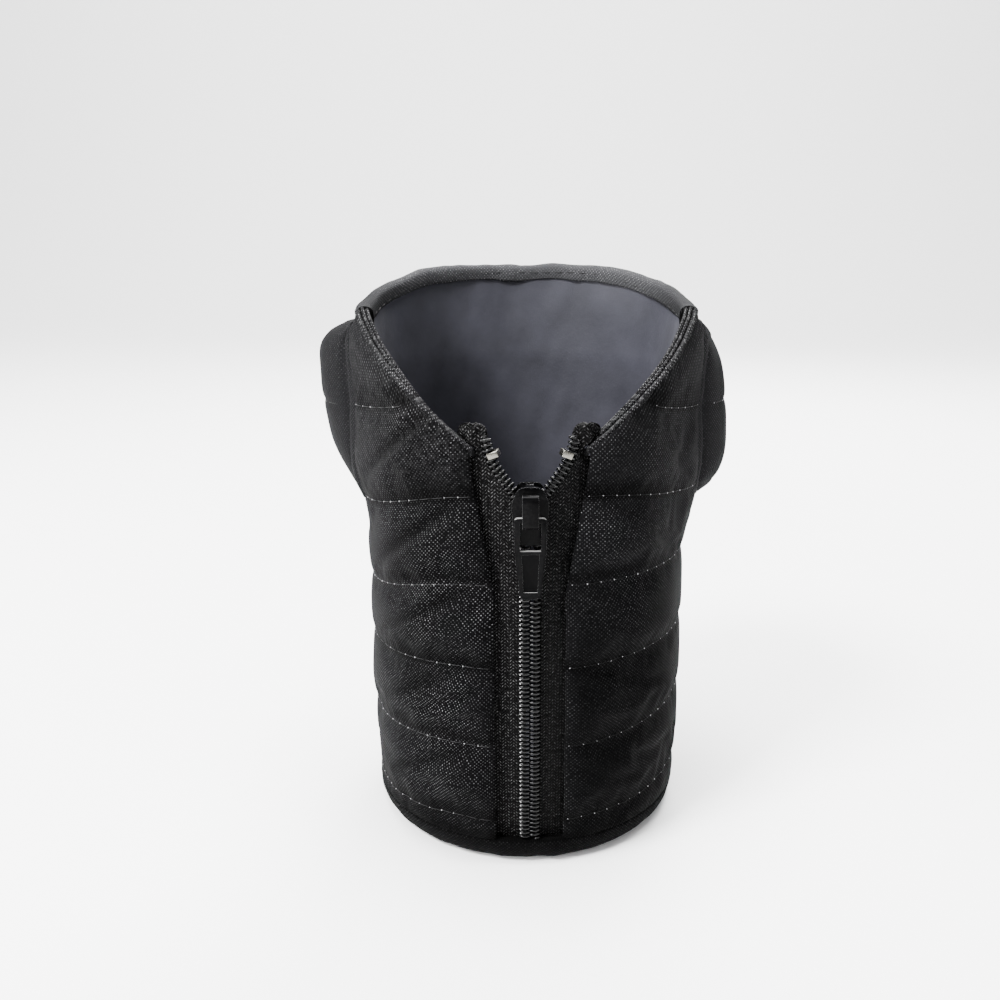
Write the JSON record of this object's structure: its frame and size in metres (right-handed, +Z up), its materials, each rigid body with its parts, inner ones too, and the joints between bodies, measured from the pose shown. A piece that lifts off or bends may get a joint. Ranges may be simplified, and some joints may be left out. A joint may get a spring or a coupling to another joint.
{
  "type": "can cooler sleeve",
  "caption": "Quilted jacket-shaped cooler sleeve for a drinks can, with a stand-up collar, two padded arms and a front zip with slider and pull tab.",
  "frame": {"origin": "centre of the base's underside, on the upright axis of the can", "axes": "+Z up along the can, the zip faces -Y, +X to the right as the picture shows it"},
  "size_m": [0.0926, 0.0792, 0.1283],
  "materials": {
    "quilted_fabric": "black plain-weave polyester, quilted, with pale thread",
    "binding": "black binding fabric",
    "lining": "smooth slate-coloured lining",
    "zip_tape": "black herringbone zip tape",
    "zip_coil": "glossy black nylon coil",
    "black_metal": "black painted metal, satin gloss",
    "silver_metal": "bare aluminium"
  },
  "bodies": {
    "sleeve": {"base_panel": "binding", "bottom_hem": "binding", "lining": "lining", "quilted_body": "quilted_fabric", "collar": "quilted_fabric", "collar_fold": "quilted_fabric", "neckline_lip_left": "binding", "neckline_lip_right": "binding", "left_arm": "quilted_fabric", "right_arm": "quilted_fabric", "left_cuff": "binding", "right_cuff": "binding", "zip_tape_left": "zip_tape", "zip_tape_right": "zip_tape", "zip_coil_left": "zip_coil", "zip_coil_right": "zip_coil", "top_stop_left": "silver_metal", "top_stop_right": "silver_metal"},
    "slider": {"slider": "black_metal"},
    "pull_tab": {"pull_tab": "black_metal"}
  },
  "joints": [
    {"name": "zip_slide", "type": "slide", "parent": "sleeve", "child": "slider", "axis": [0, 0, 1], "range_m": [-0.065, 0], "deforming": ["zip_coil_left", "zip_coil_right"]},
    {"name": "tab_hinge", "type": "hinge", "parent": "slider", "child": "pull_tab", "pos_m": [0, -0.03925, 0.0822], "axis": [-1, 0, 0], "range_deg": [0, 170]}
  ]
}
